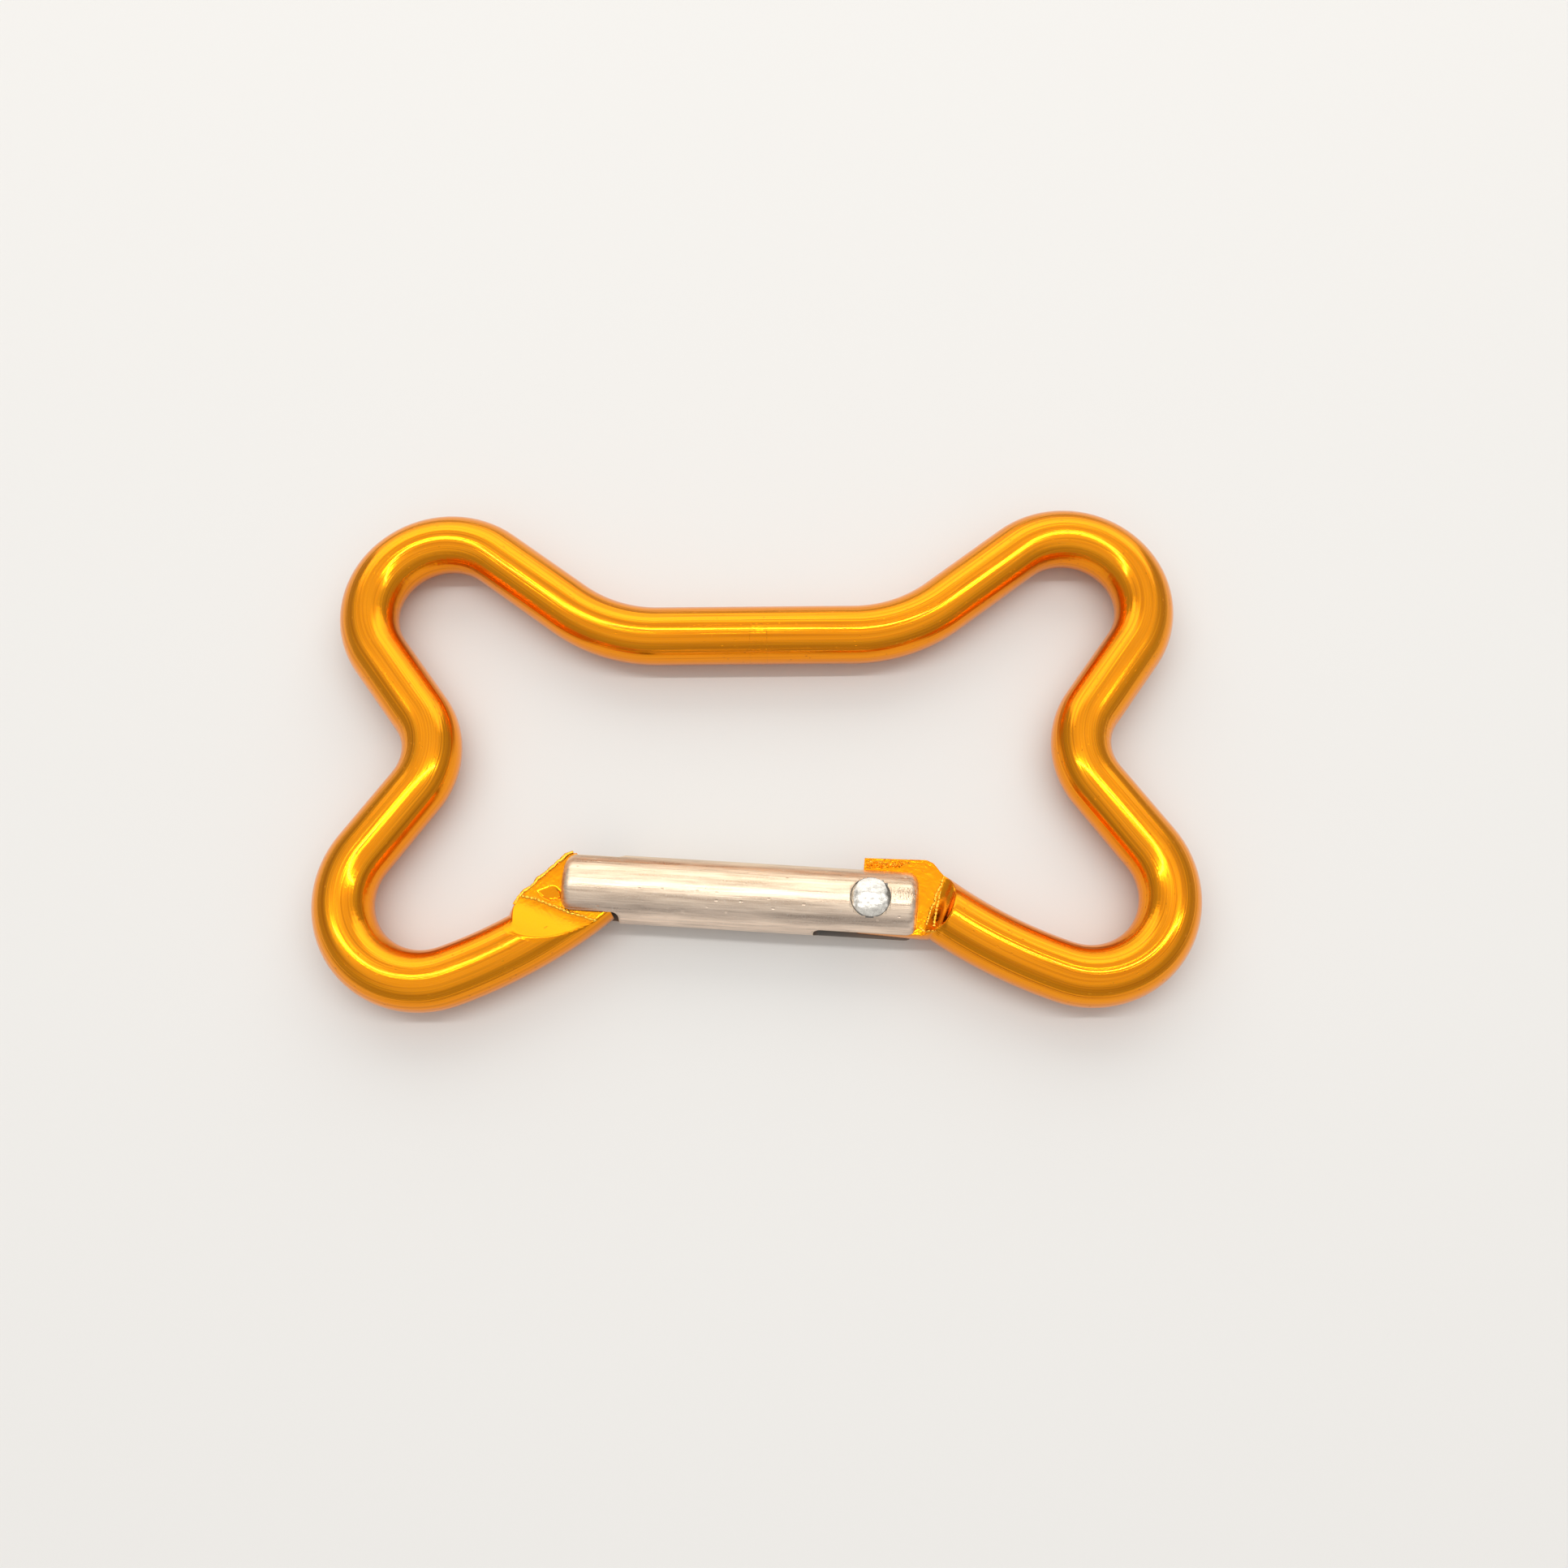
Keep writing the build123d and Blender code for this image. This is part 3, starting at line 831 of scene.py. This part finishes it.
bore_mouth = HINGE_END - PAST_END
bore = [(bore_mouth, 0), (bore_mouth, BORE_R), (BORE_END, BORE_R), (BORE_END + DRILL_CONE, 0)]
hinge_slot = slot_outline(HINGE_END - PAST_END, HINGE_SLOT_END, HINGE_HALF_SLOT, 1)
free_slot = slot_outline(FREE_SLOT_START, FREE_END + PAST_END, FREE_HALF_SLOT, -1)
cutters = [
    prism(hinge_slot, CUT_REACH, GATE_FRAME, GATE_SKIN),
    prism(free_slot, CUT_REACH, GATE_FRAME, GATE_SKIN),
    turned("cutter", bore, BORE_AROUND, GATE_FRAME, GATE_SKIN),
    hole(RIVET_R, GATE_SKIN),
]
seat_place = Matrix.Translation((*SEAT_SHIFT, 0)) @ UPRIGHT
for side in (1, -1):
    floor_x, top_x = side * SEAT_HEIGHT, side * CUT_REACH
    seat = [(floor_x, 0), (floor_x, SEAT_R), (top_x, SEAT_R), (top_x, 0)]
    cutters.append(turned("cutter", seat, BORE_AROUND, seat_place, GATE_SKIN))
carve(gate, cutters)
soften_edges(gate, 28, 0.07 * MM)
# second material: painted shade for the recesses
gate.data.materials.append(INSIDE_PAINTED_SHADE_SKIN)


def is_inside(x, y, z):
    """Whether a point of the gate, in its own frame, lies in a slot, the bore or a rivet seat."""
    off_axis = math.hypot(y, z)
    in_slot = off_axis < GATE_R - 0.12 * MM and (
        (x < HINGE_SLOT_END + 0.05 * MM and abs(z) < HINGE_HALF_SLOT + 0.01 * MM)
        or (x > FREE_SLOT_START - 0.05 * MM and abs(z) < FREE_HALF_SLOT + 0.01 * MM))
    in_bore = x < BORE_END + 1 * MM and off_axis < BORE_R + 0.02 * MM
    in_seat = math.hypot(x, y) < SEAT_R + 0.01 * MM and abs(z) < GATE_R - 0.1 * MM
    return in_slot or in_bore or in_seat


to_gate = GATE_FRAME.inverted()
# faces in the slots, bore and rivet seats take the material with painted shade
for face in gate.data.polygons:
    if is_inside(*(to_gate @ face.center)):
        face.material_index = 1
gate.data.shade_smooth()
gate.data.set_sharp_from_angle(angle=math.radians(40))
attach(gate, "gate")
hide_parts("gate")

# ---- The rivet, with domed heads -------------------------------------------------------------------
dome_rise = HEAD_TOP - SEAT_HEIGHT - HEAD_RIM
dome_r = (HEAD_R**2 + dome_rise**2) / (2 * dome_rise)
dome_angle = math.degrees(math.asin(HEAD_R / dome_r))
half = [(RIVET_R, 0), (RIVET_R, SEAT_HEIGHT), (HEAD_R, SEAT_HEIGHT)]
dome = [(r, x) for x, r in corner(HEAD_TOP - dome_r, 0, dome_r, dome_angle, 0, 22)]
half = resample([(x, r) for r, x in half + dome], 0.12 * MM)
rivet_profile = [(-x, r) for x, r in half[::-1]] + half[1:]
rivet = turned("rivet_peened", rivet_profile, 96, UPRIGHT, RIVET_SKIN)
settle(rivet, 40)
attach(rivet, "gate")
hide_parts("rivet")

# ---- The push pin ----------------------------------------------------------------------------------
pin_profile = resample(
    [(PIN_START, 0)] + corner(PIN_START + PIN_TIP_R, PIN_R - PIN_TIP_R, PIN_TIP_R, 180, 90)
    + corner(PIN_SHOULDER - PIN_TIP_R, PIN_R - PIN_TIP_R, PIN_TIP_R, 90, 0)
    + [(PIN_SHOULDER, STEM_R)]
    + corner(PIN_SHOULDER + STEM_LENGTH - PIN_TIP_R, STEM_R - PIN_TIP_R, PIN_TIP_R, 90, 0)
    + [(PIN_SHOULDER + STEM_LENGTH, 0)], 0.2 * MM)
pin = turned("push_pin_turned", pin_profile, 64, GATE_FRAME, PIN_SKIN)
settle(pin, 40)
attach(pin, "push_pin")
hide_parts("push_pin")

# ---- The spring ------------------------------------------------------------------------------------
count = COIL_TURNS * COIL_STEPS + 1
t = np.linspace(0, 1, count)
angle = 2 * math.pi * COIL_TURNS * t
centre = np.stack(
    (COIL_START + (COIL_END - COIL_START) * t, COIL_R * np.cos(angle), COIL_R * np.sin(angle)), axis=1)
ahead = np.gradient(centre, axis=0)
ahead /= np.linalg.norm(ahead, axis=1)[:, None]
outward = np.stack((0 * t, np.cos(angle), np.sin(angle)), axis=1)
other = np.cross(ahead, outward)
turns = 2 * math.pi * np.arange(WIRE_AROUND) / WIRE_AROUND
coil = centre[:, None] + WIRE_R * (
    np.cos(turns)[None, :, None] * outward[:, None] + np.sin(turns)[None, :, None] * other[:, None])
spring = capped_tube("spring_coil", coil, coil, WIRE_SKIN)
spring.data.transform(GATE_FRAME)
settle(spring, 50)
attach(spring, "gate")
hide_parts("spring")
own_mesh(spring)

# ---- Floor, light and camera -----------------------------------------------------------------------
bpy.ops.mesh.primitive_plane_add(size=3, location=(0, 0, 0))
floor = bpy.context.object
floor.name = "floor"
floor.data.materials.append(pale_floor())

world = bpy.data.worlds.new("studio")
bpy.context.scene.world = world
world.use_nodes = True
sky = world.node_tree
coordinate = sky.nodes.new("ShaderNodeTexCoord")
split = sky.nodes.new("ShaderNodeSeparateXYZ")
fade = sky.nodes.new("ShaderNodeMapRange")
fade.interpolation_type = "SMOOTHSTEP"
for socket, value in (("From Min", 0.35), ("From Max", 0.85), ("To Min", 0.44), ("To Max", 0.86)):
    fade.inputs[socket].default_value = value
sky.links.new(coordinate.outputs["Generated"], split.inputs[0])
sky.links.new(split.outputs["Z"], fade.inputs["Value"])
sky.links.new(fade.outputs[0], sky.nodes["Background"].inputs["Strength"])
sky.nodes["Background"].inputs["Color"].default_value = (1.0, 0.985, 0.96, 1)


def area_light(name, place, size, watts, colour=(1, 1, 1)):
    """A rectangular lamp that faces the object."""
    light = bpy.data.lights.new(name, "AREA")
    light.shape = "RECTANGLE"
    light.size, light.size_y = size
    light.energy = watts
    light.color = colour
    obj = bpy.data.objects.new(name, light)
    obj.location = place
    obj.rotation_euler = (-Vector(place)).to_track_quat("-Z", "Y").to_euler()
    bpy.context.scene.collection.objects.link(obj)


area_light("strip_above", (0.0, 0.03, 0.42), (0.70, 0.018), 0.62, (1.0, 0.98, 0.95))
area_light("soft_back", (0.0, 0.38, 0.30), (0.80, 0.25), 0.80, (1.0, 0.97, 0.92))
area_light("low_back", (0.0, 0.45, 0.14), (0.80, 0.10), 0.20, (1.0, 0.97, 0.93))

camera = bpy.data.cameras.new("camera")
camera.sensor_width = 36
camera.lens = 33.54
camera.clip_start = 0.001
camera_object = bpy.data.objects.new("camera", camera)
camera_object.location = (0.00284, -0.03779, 0.10654)
camera_object.rotation_euler = (0.3249, 0.0090, -0.0057)
bpy.context.scene.collection.objects.link(camera_object)
bpy.context.scene.camera = camera_object
bpy.context.scene.view_settings.view_transform = "Standard"
